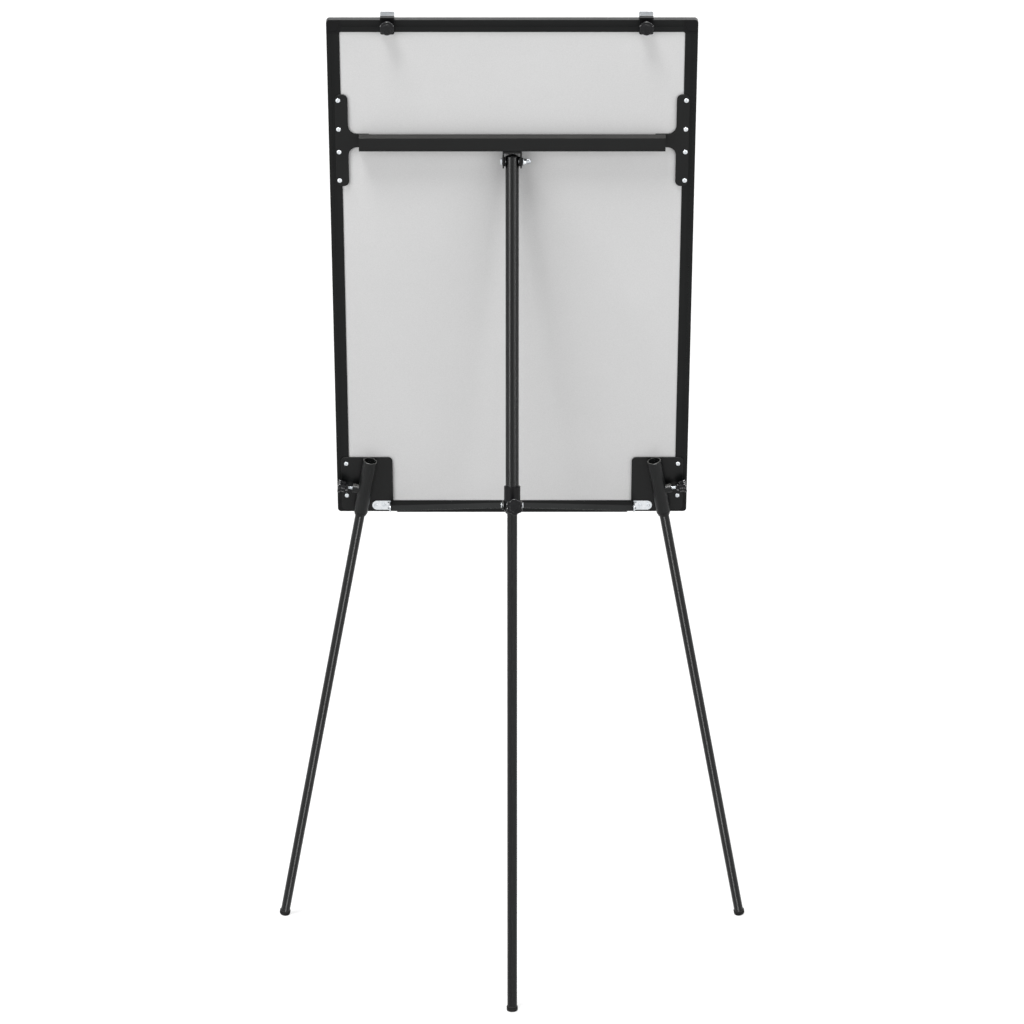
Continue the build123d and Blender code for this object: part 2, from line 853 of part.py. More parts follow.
def strip(start, end, height):
    """One straight length of flat bar between two points, its ends rounded in plan."""
    length = hypot(end[0] - start[0], end[1] - start[1])
    angle = degrees(atan2(end[1] - start[1], end[0] - start[0]))
    middle = Pos((start[0] + end[0]) / 2, (start[1] + end[1]) / 2)
    plan = middle * Rot(0, 0, angle) * SlotCenterToCenter(length, stay_thickness)
    return extrude(plan, amount=height / 2, both=True)


def right_stay():
    """The right stay: an eye at the bracket, a slanting bar and a hook over the collar's stud."""
    outer_x = bracket_inner - stay_step - stay_thickness / 2
    points = [
        (outer_x, -stay_width / 2),
        (outer_x, hook_land),
        (stay_inner_x(), stay_reach - hook_straight),
        (stay_inner_x(), stay_reach + hook_radius),
    ]
    bar = strip(points[0], points[1], 3 * hook_radius)
    bar += strip(points[1], points[2], 3 * hook_radius)
    bar += strip(points[2], points[3], 3 * hook_radius)
    return stay_place(bar & stay_outline())


def stay_outline():
    """The stay seen along X: a bar with an eye at one end and an open hook at the other."""
    slot = stud / 2 + hook_gap
    outline = Pos(stay_reach / 2, 0) * SlotCenterToCenter(stay_reach, stay_width)
    outline += Pos(stay_reach, 0) * Circle(hook_radius)
    outline -= Circle(stay_pin / 2 + running)
    outline -= Pos(stay_reach, 0) * Circle(slot)
    mouth = Pos(hook_radius, 0) * Rectangle(2 * hook_radius, 2 * slot)
    outline -= Pos(stay_reach, 0) * Rot(0, 0, hook_mouth()) * mouth
    side = Plane(origin=(0, 0, 0), x_dir=(0, 1, 0), z_dir=(1, 0, 0))
    return extrude(side * outline, amount=bracket_inner)


def stay_place(shape):
    """From a stay's own frame, Y along it and Z across its edge, to the board frame."""
    rise = (0, -cos(stay_angle), sin(stay_angle))
    return Plane(origin=(0, stay_pin_offset, stay_pin_height), x_dir=(1, 0, 0), z_dir=rise).location * shape


def right_stay_bracket():
    """The plated bracket: a round-ended plate with an ear bent up to carry the stay's pin."""
    middle = bracket_low + bracket_tall / 2
    round_end = Pos(bracket_outer - bracket_tall / 2, middle) * Circle(bracket_tall / 2)
    square = Pos((bracket_inner + bracket_outer - bracket_tall / 2) / 2, middle)
    square *= Rectangle(bracket_outer - bracket_tall / 2 - bracket_inner, bracket_tall)
    body = sheet_piece(square + round_end, plate, plate + bracket_plate)
    for x, z in bracket_rivet_places():
        body -= behind(rod(rivet_radius + rivet_gap, 0, 9), x, z)
    relief_x = bracket_inner + bracket_relief_from_end
    relief_low = bracket_low + bracket_relief_from_edge
    relief_high = bracket_low + bracket_tall - bracket_relief_from_edge
    for height in (relief_low, relief_high):
        body -= behind(rod(bracket_relief, 0, 9), relief_x, height)
    rim = Pos(stay_pin_offset, stay_pin_height) * Circle(bracket_ear_radius)
    base = Polyline((plate, bracket_low + 1), (plate, bracket_low + bracket_tall - 1))
    ear = extrude(Plane.YZ * make_hull(rim.edges() + base.edges()), amount=bracket_plate)
    body += Pos(bracket_inner, 0, 0) * ear
    return body - across(rod(stay_pin / 2 + seat, -5, 9), bracket_inner, stay_pin_offset, stay_pin_height)


def bracket_rivet(x, z):
    """A flat rivet of a stay bracket."""
    base = plate + bracket_plate
    shank = rod(rivet_radius, -back_lip, base + bracket_rivet_head / 2)
    return behind(shank + rod(bracket_rivet_head_radius, base, base + bracket_rivet_head), x, z)


def stay_pivot_rivet():
    """The pin of the right stay, headed on both sides."""
    outer_head = bracket_inner + bracket_plate
    inner_head = bracket_inner - stay_thickness - 2 * stay_step
    pin = rod(stay_pin / 2, inner_head, outer_head)
    pin += rod(stay_pin_head, inner_head - stay_pin_head_tall, inner_head)
    pin += rod(stay_pin_head, outer_head, outer_head + stay_pin_tail_tall)
    pin = chamfer(pin.edges().group_by(Axis.Z)[0], stay_pin_head_tall / 3)
    return across(pin, 0, stay_pin_offset, stay_pin_height)


# Pen tray
def tray_screw_offset():
    """Place of the tray screws under the middle of the rail's chamber."""
    return front_face / 2


def pen_tray():
    """The folded tray: a flange under the rail, a floor, a front lip and two ends."""
    front = front_face - tray_deep
    body = block(-tray_half, tray_half, front, 0, -tray_sheet, tray_lip)
    corners = body.edges().filter_by(Axis.Z).group_by(Axis.Y)[0]
    body = fillet(corners, tray_corner)
    inner = tray_half - tray_sheet
    body -= block(-inner, inner, front + tray_sheet, 1, 0, tray_lip + 1)
    body -= block(-tray_half - 1, tray_half + 1, front_face - slip, 1, 0, tray_lip + 1)
    for side in (-1, 1):
        body -= Pos(side * tray_screws_at, tray_screw_offset(), 0) * rod(tray_screw / 2 + rivet_gap, -5, 5)
    return body


def tray_screws():
    """The two screws that hold the tray up to the bottom rail."""
    head = turned([
        (0, -tray_sheet - tray_screw_head_tall),
        (tray_screw_head * 0.6, -tray_sheet - tray_screw_head_tall),
        (tray_screw_head, -tray_sheet - tray_screw_head_tall * 0.4),
        (tray_screw_head, -tray_sheet),
        (0, -tray_sheet),
    ])
    screw = head + rod(tray_screw / 2, -tray_sheet - 0.5, tray_screw_long - tray_sheet)
    places = [Pos(side * tray_screws_at, tray_screw_offset(), 0) for side in (-1, 1)]
    return Compound([place * screw for place in places])


# Pad clips
def clip_body(x):
    """The moulded clamp that straddles the top rail's back edge."""
    half = clip_width / 2
    top = board_height + slip
    body = block(-half, half, slip, slip + clip_back, board_height - clip_leg + slip, top + clip_top)
    body += block(-half, half, -clip_bridge, slip + clip_back, top, top + clip_top)
    upper_edges = body.edges().filter_by(Axis.X).group_by(Axis.Z)[-1].sort_by(Axis.Y)
    body = fillet(upper_edges[-1], 1.0)
    low_corners = body.edges().filter_by(Axis.Y).group_by(Axis.Z)[0]
    body = fillet(low_corners, hook_corner)
    tongue = hook_tongue_width / 2 + seat
    slot_low = tongue_low() - seat
    slot_high = tongue_low() + hook_tongue + seat
    body -= block(-tongue, tongue, -clip_bridge - 1, seat, slot_low, slot_high)
    body += behind(rod(clip_boss_radius, slip, slip + clip_back + clip_stand_off), 0, clip_knob_height())
    body -= behind(rod(bolt / 2 + running, -1, 20), 0, clip_knob_height())
    return Pos(x, 0, 0) * body


def clip_knob_height():
    """Height of a clip's screw above the board's bottom edge."""
    return board_height - clip_knob_down


def tongue_low():
    """Underside of the hook's tongue inside the clamp."""
    return board_height + slip + clip_top - hook_bridge + hook_tongue_rise


def pad_hook(x):
    """The aluminium hook: a bridge, a front leg with a low upstand, a tongue and the pad's peg."""
    half = clip_width / 2
    face = front_face - slip
    top = board_height + slip + clip_top
    low = board_height - clip_leg + slip
    body = block(-half, half, face - hook_plate, face, low, top + hook_upstand)
    body = fillet(body.edges().filter_by(Axis.Y), hook_corner)
    body += block(-half, half, face - hook_plate / 2, -clip_bridge, top - hook_bridge, top)
    tongue = hook_tongue_width / 2
    body += block(-tongue, tongue, -clip_bridge - 1, 0, tongue_low(), tongue_low() + hook_tongue)
    pin = rod(peg / 2, 0, hook_plate + peg_long)
    pin = fillet(pin.edges().group_by(Axis.Z)[-1], 1.0)
    body += Pos(0, face, board_height - peg_down) * Rot(90, 0, 0) * pin
    return Pos(x, 0, 0) * body


def clip_knob(x):
    """The small star knob of a pad clip, moulded round its screw."""
    size = clip_knob_share
    start = slip + clip_back + clip_stand_off + slip
    knob = star_knob(clip_knob_diameter, start, 0.6, size)
    screw = rod(bolt / 2, slip, start + 1)
    return behind(knob + screw, x, clip_knob_height())


# Every node, in the stand frame
def add_board_nodes(nodes):
    """The board with all that is fixed to it."""
    cap = corner_cap()
    core_front = groove_front + sheet_thickness
    core_back = groove_back - sheet_thickness
    nodes["right_stile"] = right_stile()
    nodes["top_rail"] = top_rail()
    nodes["bottom_rail"] = bottom_rail()
    nodes["bottom_right_cap"] = cap
    nodes["top_right_cap"] = upper(cap)
    nodes["writing_sheet"] = panel(groove_front, core_front)
    nodes["board_core"] = panel(core_front, core_back)
    nodes["back_sheet"] = panel(core_back, groove_back)
    nodes["right_tee_plate"] = right_tee_plate()
    nodes["crossbar"] = crossbar()
    nodes["right_corner_plate"] = right_corner_plate()
    nodes["right_leg_socket"] = right_leg_socket()
    nodes["right_socket_bush"] = right_socket_bush()
    nodes["right_stay_bracket"] = right_stay_bracket()
    nodes["leg_clevis"] = leg_clevis()
    nodes["pivot_bolt"] = pivot_bolt()
    nodes["pivot_washers"] = pivot_washers()
    nodes["wing_nut"] = wing_nut()
    nodes["pen_tray"] = pen_tray()
    nodes["tray_screws"] = tray_screws()


def both_sides(shapes):
    """A group of right-hand pieces with their left-hand copies."""
    return Compound(shapes + [other_side(shape) for shape in shapes])


def add_fasteners(nodes):
    """Rivets, each kind as one node of separate solids."""
    nodes["tee_rivets"] = both_sides([rivet(rivet_x, z) for z in tee_rivet_heights()])
    nodes["corner_rivets"] = both_sides([rivet(rivet_x, z) for z in corner_rivets_at])
    nodes["bracket_rivets"] = both_sides([bracket_rivet(x, z) for x, z in bracket_rivet_places()])
    nodes["stay_pivot_rivets"] = both_sides([stay_pivot_rivet()])


def add_moving_nodes(nodes):
    """What moves on the board: legs, knobs and stays of the right side, and the pad clips."""
    nodes["right_leg_tube"] = right_leg_tube()
    nodes["right_leg_plug"] = right_leg_plug()
    nodes["right_leg_knob"] = right_leg_knob()
    nodes["right_clamp_screw"] = right_clamp_screw()
    nodes["right_stay"] = right_stay()
    for name, x in (("right", right_clip_at), ("left", left_clip_at)):
        nodes[name + "_clip_body"] = clip_body(x)
        nodes[name + "_pad_hook"] = pad_hook(x)
        nodes[name + "_clip_knob"] = clip_knob(x)


def add_left_side(nodes):
    """Mirrors each right-hand piece that has no left-hand one yet."""
    for name in list(nodes):
        left = name.replace("right", "left")
        if left != name and left not in nodes:
            nodes[left] = other_side(nodes[name])


def stand_nodes():
    """All nodes in the stand frame."""
    nodes = {}
    add_board_nodes(nodes)
    add_fasteners(nodes)
    add_moving_nodes(nodes)
    add_left_side(nodes)
    nodes = {name: on_board(shape) for name, shape in nodes.items()}
    leg_stem = leg_tube / 2 - tube_wall - seat
    rear_stem = rear_inner_tube / 2 - tube_wall - seat
    nodes["right_foot"] = on_floor(on_board(on_right_leg(foot(leg_stem, leg_reach))))
    nodes["left_foot"] = other_side(nodes["right_foot"])
    nodes["rear_foot"] = on_floor(on_rear_leg(foot(rear_stem, rear_reach)))
    nodes["rear_outer_tube"] = rear_outer()
    nodes["rear_top_plug"] = rear_top_plug()
    nodes["rear_collar"] = rear_collar()
    nodes["collar_studs"] = collar_studs()
    nodes["rear_knob"] = rear_knob()
    nodes["rear_clamp_screw"] = rear_clamp_screw()
    nodes["rear_inner_tube"] = rear_inner()
    nodes["rear_inner_plug"] = rear_inner_plug()
    return nodes


def row_origin(nodes):
    """Y of the middle between the front feet and the rear foot."""
    front = nodes["right_foot"].bounding_box().min.Y
    back = nodes["rear_foot"].bounding_box().max.Y
    return (front + back) / 2


def report(origin_y):
    """Prints the places and angles that the joints and mounts need, in the row frame."""
    def show(label, point):
        print(label, [round(point[0], 3), round(point[1] - origin_y, 3), round(point[2], 3)])
    print("origin y", round(origin_y, 4), "fold", round(fold_angle, 4))
    print("stay angle", round(degrees(stay_angle), 4), "swing", round(stay_swing, 4))
    print("stay ratio", round(stay_ratio, 5))
    print("stay reach", round(stay_reach, 3), "mouth", round(hook_mouth(), 2))
    print("leg reach", round(leg_reach, 3), "rear reach", round(rear_reach, 3))
    show("rear pivot", rear_pivot)
    show("stay pin", board_point(0, stay_pin_offset, stay_pin_height))
    leg_clamp_x = leg_at_bottom_edge - clamp_height * splay_sin
    show("right leg clamp", board_point(leg_clamp_x, leg_offset, clamp_height * splay_cos))
    clamp_y = rear_pivot[1] + rear_clamp_at * sin(radians(rear_lean))
    clamp_z = rear_pivot[2] - rear_clamp_at * cos(radians(rear_lean))
    show("rear clamp", (0, clamp_y, clamp_z))
    show("right clip screw", board_point(right_clip_at, 0, clip_knob_height()))
    show("left clip screw", board_point(left_clip_at, 0, clip_knob_height()))
    peg_root = front_face - slip - hook_plate
    show("right peg root", board_point(right_clip_at, peg_root, board_height - peg_down))
    show("left peg root", board_point(left_clip_at, peg_root, board_height - peg_down))
    show("writing face", board_point(0, groove_front, board_height / 2))
    show("tray floor, back", board_point(0, front_face, 0))
    show("tray floor, front", board_point(0, front_face - tray_deep, 0))


def main():
    """Builds every node and writes one file for each."""
    os.makedirs("parts", exist_ok=True)
    nodes = stand_nodes()
    origin_y = row_origin(nodes)
    for name, shape in sorted(nodes.items()):
        export_step(Pos(0, -origin_y, 0) * shape, "parts/" + name + ".step")
    report(origin_y)
    print(len(nodes), "nodes")


main()
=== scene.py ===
# %% [markdown]
# # A whiteboard easel, seen from behind
# The easel stands on three thin legs, so the camera looks at its back: a pale sheet in a black
# frame, a crossbar, a telescopic rear leg and many small fasteners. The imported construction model
# already holds the tubes, plates and rails at their real sizes. This lesson lights them, gives each
# one the finish of its real material, and models by hand the small parts whose form a plain solid
# only suggests: knobs, rivets, screws, the wing nut and the rubber feet.

# %% Load the construction model
import bpy
import json
from math import atan2, ceil, cos, pi, radians, sin
from mathutils import Matrix, Vector


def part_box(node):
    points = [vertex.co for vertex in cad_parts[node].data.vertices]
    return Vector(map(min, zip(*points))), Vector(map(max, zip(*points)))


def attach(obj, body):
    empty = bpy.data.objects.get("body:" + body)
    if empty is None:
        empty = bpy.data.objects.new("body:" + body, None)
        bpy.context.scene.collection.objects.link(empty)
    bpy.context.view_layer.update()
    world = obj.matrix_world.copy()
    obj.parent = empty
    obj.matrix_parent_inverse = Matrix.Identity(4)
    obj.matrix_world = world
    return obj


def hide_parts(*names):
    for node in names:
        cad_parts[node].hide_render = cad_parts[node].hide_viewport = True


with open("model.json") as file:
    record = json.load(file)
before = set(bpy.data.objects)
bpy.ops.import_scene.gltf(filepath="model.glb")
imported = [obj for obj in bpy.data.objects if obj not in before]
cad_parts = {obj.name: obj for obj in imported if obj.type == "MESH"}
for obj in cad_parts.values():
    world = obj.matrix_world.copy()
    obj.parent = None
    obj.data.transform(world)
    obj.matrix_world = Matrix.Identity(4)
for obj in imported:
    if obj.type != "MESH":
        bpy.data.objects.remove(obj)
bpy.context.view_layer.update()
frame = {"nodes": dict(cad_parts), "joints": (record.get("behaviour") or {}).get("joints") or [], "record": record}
joints = {joint["name"]: joint for joint in frame["joints"]}
slots = {part["node"]: part["material_slot"] for part in frame["record"]["subparts"]}
bodies = frame["record"]["behaviour"]["bodies"]
body_of = {node: body for body, members in bodies.items() for node in members}
# Blender counts in metres, and the sizes below are in millimetres.
MM = 0.001

# %% [markdown]
# ## The board's own directions
# The board leans back, so nothing on it is level. Its outward direction is known from the clips'
# screws, which stand square to it. From that one direction and the screw's height follow the way up
# the board and the point that heights are counted from.

# %% Directions of the board and a way to aim a piece
CLIP_SCREW_HEIGHT = 891.5

across = Vector((1, 0, 0))
behind = Vector(joints["right_clip_turn"]["axis"]).normalized()
up_board = across.cross(behind)
clip_screw = Vector(joints["right_clip_turn"]["pos_m"])
board_foot = Vector((0, clip_screw.y, clip_screw.z)) - up_board * (CLIP_SCREW_HEIGHT * MM)


def on_board(x, off, height):
    """A point of the board: across, out of its back face and up from its bottom edge, in mm."""
    return board_foot + (across * x + behind * off + up_board * height) * MM


def aimed(place, axis, side=across):
    """A frame with Z along an axis and X as near to a side as it can be."""
    z = Vector(axis).normalized()
    x = (Vector(side) - z * z.dot(Vector(side))).normalized()
    y = z.cross(x)
    return Matrix.Translation(Vector(place)) @ Matrix((x, y, z)).transposed().to_4x4()


def span(node, place, axis):
    """Where a node starts and ends along an axis, and how far it reaches from that axis."""
    axis = Vector(axis).normalized()
    offsets = [vertex.co - Vector(place) for vertex in frame["nodes"][node].data.vertices]
    along = [offset.dot(axis) for offset in offsets]
    away = [(offset - axis * offset.dot(axis)).length for offset in offsets]
    return min(along), max(along), max(away)


print("board foot", [round(value, 4) for value in board_foot])

# %% [markdown]
# ## Camera
# The picture is a long-lens view from a little above: upright lines hardly converge and the legs
# keep their true spread. A 133 mm lens on a 36 mm frame, six metres back and looking down by
# 16.5 degrees, gives that view.

# %% Camera at the photograph's angle
CAMERA_PLACE = (0.0051, 6.2128, 2.6720)
CAMERA_DOWN = 16.528
CAMERA_TURN = 179.955
CAMERA_LENS = 133.48
CAMERA_REACH = 200
FILM = 36.0

bpy.ops.object.camera_add(location=CAMERA_PLACE)
camera = bpy.context.object
camera.rotation_euler = (radians(90 - CAMERA_DOWN), 0, radians(CAMERA_TURN))
camera.data.sensor_width = FILM
camera.data.lens = CAMERA_LENS
camera.data.clip_end = CAMERA_REACH
bpy.context.scene.camera = camera
bpy.context.scene.view_settings.view_transform = "Standard"
print("camera", camera.location)

# %% [markdown]
# ## Nodes with one helper
# Every finish below is a small network of shader nodes. One function adds a node, sets its
# options, fills its inputs with values and joins the inputs that take another node's output.
# Colours are written as sRGB hex values, the way a paint chart gives them, and turned to linear.

# %% Colour and node helpers
WHITE = (1, 1, 1, 1)


def linear(hex_colour):
    """An sRGB hex colour as the linear values that a shader wants."""
    parts = [int(hex_colour[i:i + 2], 16) / 255 for i in (1, 3, 5)]
    parts = [c / 12.92 if c <= 0.04045 else ((c + 0.055) / 1.055) ** 2.4 for c in parts]
    return (*parts, 1.0)


def add(tree, kind, inputs=None, **settings):
    """Adds one node, with its settings, its input values and its links."""
    made = tree.nodes.new(kind)
    for key, value in settings.items():
        setattr(made, key, value)
    for key, value in (inputs or {}).items():
        if isinstance(value, bpy.types.NodeSocket):
            tree.links.new(value, made.inputs[key])
        else:
            made.inputs[key].default_value = value
    return made


def fresh_tree(name):
    """A new material with an empty node tree."""
    material = bpy.data.materials.new(name)
    material.use_nodes = True
    material.node_tree.nodes.clear()
    return material, material.node_tree


def background_rays(tree):
    """One where the camera, a shiny surface or a clear one looks, and nought for plain light."""
    path = add(tree, "ShaderNodeLightPath")
    seen = path.outputs["Is Camera Ray"]
    for kind in ("Is Glossy Ray", "Is Transmission Ray"):
        seen = add(tree, "ShaderNodeMath", {0: seen, 1: path.outputs[kind]}, operation="MAXIMUM").outputs[0]
    return seen


print("half grey is", round(linear("#808080")[0], 3), "to a shader")

# %% [markdown]
# ## Surroundings
# The picture is a studio cut-out, white all round. A weak pale sky fills the shadows. Where the
# camera or a shiny surface looks at it, it is plain white instead.

# %% World
SKY_STRENGTH = 0.20

world = bpy.data.worlds.new("studio")
bpy.context.scene.world = world
world.use_nodes = True
tree = world.node_tree
tree.nodes.clear()
seen = background_rays(tree)
sky = add(tree, "ShaderNodeBackground", {"Color": WHITE, "Strength": SKY_STRENGTH})
white = add(tree, "ShaderNodeBackground", {"Color": WHITE, "Strength": 1.0})
mixed = add(tree, "ShaderNodeMixShader", {0: seen, 1: sky.outputs[0], 2: white.outputs[0]})
add(tree, "ShaderNodeOutputWorld", {"Surface": mixed.outputs[0]})
print("world", len(tree.nodes), "shader nodes")

# %% [markdown]
# ## Soft boxes and far lights
# Two tall soft boxes, left and right of the camera, light the sheet evenly. A far light overhead
# lets the crossbar's shadow fall below it, and a wide one from the front of the board brightens
# what faces up.

# %% Lamps that light the whole easel
EASEL_MIDDLE = (0, 0, 1.1)
BOX_AWAY = 2.9
BOX_HIGH = 1.9
BOX_TALL = 3.0


def soft_box(name, place, target, width, height, watts):
    """A rectangular lamp that faces a point and isn't itself in the picture."""
    bpy.ops.object.light_add(type="AREA", location=place)
    lamp = bpy.context.object
    lamp.name = name
    lamp.visible_camera = False
    lamp.data.shape = "RECTANGLE"
    lamp.data.size = width
    lamp.data.size_y = height
    lamp.data.energy = watts
    lamp.rotation_euler = (Vector(target) - Vector(place)).to_track_quat("-Z", "Y").to_euler()


def far_light(name, towards, strength, spread):
    """A far lamp that lights everything alike, as wide as its spread in degrees."""
    bpy.ops.object.light_add(type="SUN")
    lamp = bpy.context.object
    lamp.name = name
    lamp.data.energy = strength
    lamp.data.angle = radians(spread)
    lamp.rotation_euler = Vector(towards).to_track_quat("-Z", "Y").to_euler()
    return lamp


# The side of the easel on which each box stands, its width in metres and its watts.
for name, side, wide, watts in (("main box", 1, 2.8, 64), ("fill box", -1, 3.4, 57)):
    soft_box(name, (side * BOX_AWAY, BOX_AWAY, BOX_HIGH), EASEL_MIDDLE, wide, BOX_TALL, watts)
far_light("overhead light", towards=(-0.25, -0.45, -1.0), strength=2.4, spread=22)
far_light("front light", towards=(0.3, 0.9, -0.7), strength=1.1, spread=60)
print("lamps", len(bpy.data.lights))

# %% [markdown]
# ## Lines of light on the tubes and the stays
# A round tube looks round because narrow lights draw bright lines along it. The upper part of the
# rear leg shows one line on each side, and the lower tubes show one in the middle. A far lamp
# draws such a line evenly from end to end. Two more lift the stays and the mouths of the sockets
# off the black behind them. Light linking lets each of these lamps reach only its own pieces, so
# that the sheet behind them stays even.

# %% Lamps that only some pieces see
def line_of_light(name, azimuth, elevation, strength, spread, lit_pieces):
    """A far lamp in a direction seen from the easel, that lights only some of its pieces."""
    flat = cos(radians(elevation))
    to_lamp = Vector((sin(radians(azimuth)) * flat, cos(radians(azimuth)) * flat, sin(radians(elevation))))
    lamp = far_light(name, -to_lamp, strength, spread)
    lit = bpy.data.collections.new(name + " lights")
    shading = bpy.data.collections.new(name + " shades")
    for piece in lit_pieces:
        lit.objects.link(piece)
    for item in frame["nodes"].values():
        shading.objects.link(item)
    lamp.light_linking.receiver_collection = lit
    lamp.light_linking.blocker_collection = shading


# Each lamp's azimuth and elevation in degrees, its strength, its spread in degrees, and what it lights.
LINES = (
    ("left line", 47, -6, 0.8, 7, ("rear_outer_tube", "rear_top_plug")),
    ("right line", -56, -6, 0.75, 7, ("rear_outer_tube", "rear_top_plug")),
    ("low line", -12, -10, 0.7, 8, ("rear_inner_tube",)),
    ("leg line", 0, -43, 2.1, 14, ("left_leg_tube", "right_leg_tube")),
    ("stay line", 0, 20, 10.0, 20, ("left_stay", "right_stay")),
    ("mouth line", 0, 60, 7.0, 20, ("left_leg_socket", "right_leg_socket")))
for name, azimuth, elevation, strength, spread, lit_nodes in LINES:
    line_of_light(name, azimuth, elevation, strength, spread, [frame["nodes"][node] for node in lit_nodes])
print("lamps", len(bpy.data.lights))

# %% [markdown]
# ## Floor
# The floor is one white plane, so large that its edge is never seen. Where the camera or a shiny
# surface looks at it, a little of its own light is added to what the lamps give it, which lifts
# the lit floor to white and still leaves the easel's soft shadow.

# %% Floor
FLOOR_SIZE = 120
FLOOR_GLOW = 0.70
FLOOR_WHITE = "#a8a8a8"

bpy.ops.mesh.primitive_plane_add(size=FLOOR_SIZE)
floor = bpy.context.object
floor.name = "floor"
material, tree = fresh_tree("matt white floor")
glow = add(tree, "ShaderNodeMath", {0: background_rays(tree), 1: FLOOR_GLOW}, operation="MULTIPLY")
matt = add(tree, "ShaderNodeBsdfDiffuse", {"Color": linear(FLOOR_WHITE)})
own = add(tree, "ShaderNodeEmission", {"Color": WHITE, "Strength": glow.outputs[0]})
both = add(tree, "ShaderNodeAddShader", {0: matt.outputs[0], 1: own.outputs[0]})
add(tree, "ShaderNodeOutputMaterial", {"Surface": both.outputs[0]})
floor.data.materials.append(material)
print("floor", tuple(floor.dimensions))

# %% [markdown]
# ## Finishes
# Powder coat is plastic powder melted onto metal. It is never quite smooth: a fine orange peel
# about a millimetre across breaks up its soft shine, and a slower drift of gloss runs over it.
# Two noises give both. The drift changes the colour and the roughness a little, and the peel
# becomes a low bump. Dust settles on what faces up. Moulded plastic, rubber, plating and lacquer
# are the same two noises, each at its own scale and depth.

# %% A function for coated, moulded and plated surfaces
DUST = "#b4b2ae"
# Nearly all of a noise lies between these two values.
NOISE_LOW = 0.3
NOISE_HIGH = 0.7
# Dust starts on faces that look up this much, and is full on those that lie flat.
DUST_STARTS = 0.55
DUST_FULL = 0.98


def grained(name, colours, rough, grain_mm, bump_mm, drift_mm, level=0.5, metal=0.0, stretch=(1, 1, 1),
            speckle=0.0, dust=0.0):
    """A finish with a bumpy grain, a drift in colour and gloss, speckles, and dust on what faces up."""
    material, tree = fresh_tree(name)
    spot = add(tree, "ShaderNodeTexCoord")
    mapped = add(tree, "ShaderNodeMapping", {"Vector": spot.outputs["Object"], "Scale": stretch})
    drift = add(tree, "ShaderNodeTexNoise", {"Vector": mapped.outputs[0], "Scale": 1000 / drift_mm,
                                             "Detail": 4.0, "Roughness": 0.55})
    grain = add(tree, "ShaderNodeTexNoise", {"Vector": mapped.outputs[0], "Scale": 1000 / grain_mm,
                                             "Detail": 3.0, "Roughness": 0.6})
    slow = add(tree, "ShaderNodeMapRange", {"Value": drift.outputs["Fac"], "From Min": NOISE_LOW,
                                            "From Max": NOISE_HIGH})
    fine = add(tree, "ShaderNodeMapRange", {"Value": grain.outputs["Fac"], "From Min": NOISE_LOW,
                                            "From Max": NOISE_HIGH})
    both = add(tree, "ShaderNodeMix", {"Factor": speckle, "A": slow.outputs[0], "B": fine.outputs[0]})
    tint = add(tree, "ShaderNodeMix", {"Factor": both.outputs["Result"], "A": linear(colours[0]),
                                       "B": linear(colours[1])}, data_type="RGBA")
    faces = add(tree, "ShaderNodeNewGeometry")
    parts = add(tree, "ShaderNodeSeparateXYZ", {"Vector": faces.outputs["Normal"]})
    lying = add(tree, "ShaderNodeMapRange", {"Value": parts.outputs["Z"], "From Min": DUST_STARTS,
                                             "From Max": DUST_FULL, "To Max": dust})
    patches = add(tree, "ShaderNodeMapRange", {"Value": slow.outputs[0], "To Min": 1.0, "To Max": 2.0})
    settled = add(tree, "ShaderNodeMath", {0: lying.outputs[0], 1: patches.outputs[0]}, operation="MULTIPLY")
    dusty = add(tree, "ShaderNodeMix", {"Factor": settled.outputs[0], "A": tint.outputs["Result"],
                                        "B": linear(DUST)}, data_type="RGBA")
    gloss = add(tree, "ShaderNodeMapRange", {"Value": slow.outputs[0], "To Min": rough[0],
                                             "To Max": rough[1]})
    bump = add(tree, "ShaderNodeBump", {"Height": grain.outputs["Fac"], "Strength": 1.0,
                                        "Distance": bump_mm * MM})
    skin = add(tree, "ShaderNodeBsdfPrincipled", {
        "Base Color": dusty.outputs["Result"], "Roughness": gloss.outputs[0], "Metallic": metal,
        "Specular IOR Level": level, "Normal": bump.outputs[0]})
    add(tree, "ShaderNodeOutputMaterial", {"Surface": skin.outputs[0]})
    return material


finish = {}
print("dust colour", [round(value, 3) for value in linear(DUST)])

# %% [markdown]
# ## Black metal
# Three blacks tell the metals apart. The frame's coat is the dullest. The pressed steel has a
# tighter coat, so its edges and upper faces draw light lines. The drawn tubes carry a thin
# stoved enamel with faint marks along their length, and are the glossiest.

# %% Coated frame, pressed steel and tubes
# Satin powder coat on extruded aluminium: an even dull black, and a peel that softens each highlight.
finish["frame_black"] = grained("satin powder coat on extruded aluminium", ("#0f1010", "#131414"),
                                (0.36, 0.44), grain_mm=1.1, bump_mm=0.03, drift_mm=60, level=0.14)
# Tight powder coat on pressed steel: bright lines along edges, and a little dust on top.
finish["steel_black"] = grained("tight powder coat on pressed steel", ("#090a0a", "#0d0e0e"), (0.31, 0.41),
                                grain_mm=0.9, bump_mm=0.03, drift_mm=60, level=0.21, dust=0.03)
# Stoved enamel on drawn tube: narrow lines of light, broken by marks drawn out along the tube.
finish["tube_black"] = grained("stoved enamel on drawn tube", ("#0b0b0c", "#0f1010"), (0.19, 0.25),
                               grain_mm=1.4, bump_mm=0.005, drift_mm=60, level=0.22, stretch=(1, 1, 0.12))

# %% [markdown]
# ## Plastic and rubber
# The caps, collar and clips come from a mould with a fine spark-eroded texture, so they look
# greyer than the coat beside them. The knobs come from a polished mould and show sharp
# highlights. The rubber has no shine, and dust from the floor clings to it.

